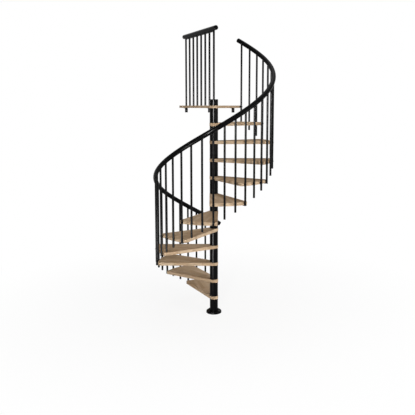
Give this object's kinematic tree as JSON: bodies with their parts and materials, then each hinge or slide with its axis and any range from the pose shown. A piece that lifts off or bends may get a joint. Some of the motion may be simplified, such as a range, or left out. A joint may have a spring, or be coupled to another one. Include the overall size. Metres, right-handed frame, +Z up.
{
  "type": "spiral staircase",
  "caption": "Spiral staircase with wedge-shaped beech treads and a landing on a black steel pole, round balusters and a helical black handrail.",
  "frame": {"origin": "centre of the base flange's underside, on the floor, on the pole's axis", "axes": "+Z up the pole; -Y towards the picture's viewer; +X to the right in the picture; the stair climbs from +X towards +Y"},
  "size_m": [1.5759, 1.7524, 3.7559],
  "materials": {
    "beech": "clear satin lacquer",
    "black_steel": "satin powder coat",
    "black_rail": "smooth satin"
  },
  "bodies": {
    "root": {"baluster_feet": "black_steel", "baluster_standoffs": "black_steel", "balusters_01": "black_steel", "balusters_02": "black_steel", "balusters_03": "black_steel", "balusters_04": "black_steel", "balusters_05": "black_steel", "balusters_06": "black_steel", "balusters_07": "black_steel", "balusters_08": "black_steel", "balusters_09": "black_steel", "balusters_10": "black_steel", "balusters_11": "black_steel", "base_flange": "black_steel", "centre_pole": "black_steel", "floor_foot": "black_steel", "handrail_1": "black_rail", "handrail_2": "black_rail", "handrail_3": "black_rail", "handrail_4": "black_rail", "handrail_caps": "black_rail", "landing": "beech", "landing_balusters": "black_steel", "landing_brackets": "black_steel", "landing_handrail": "black_rail", "landing_newel": "black_steel", "landing_rail_strip": "black_steel", "pole_cap": "black_steel", "pole_sleeves": "black_steel", "tread_01": "beech", "tread_02": "beech", "tread_03": "beech", "tread_04": "beech", "tread_05": "beech", "tread_06": "beech", "tread_07": "beech", "tread_08": "beech", "tread_09": "beech", "tread_10": "beech", "tread_11": "beech"}
  },
  "joints": []
}
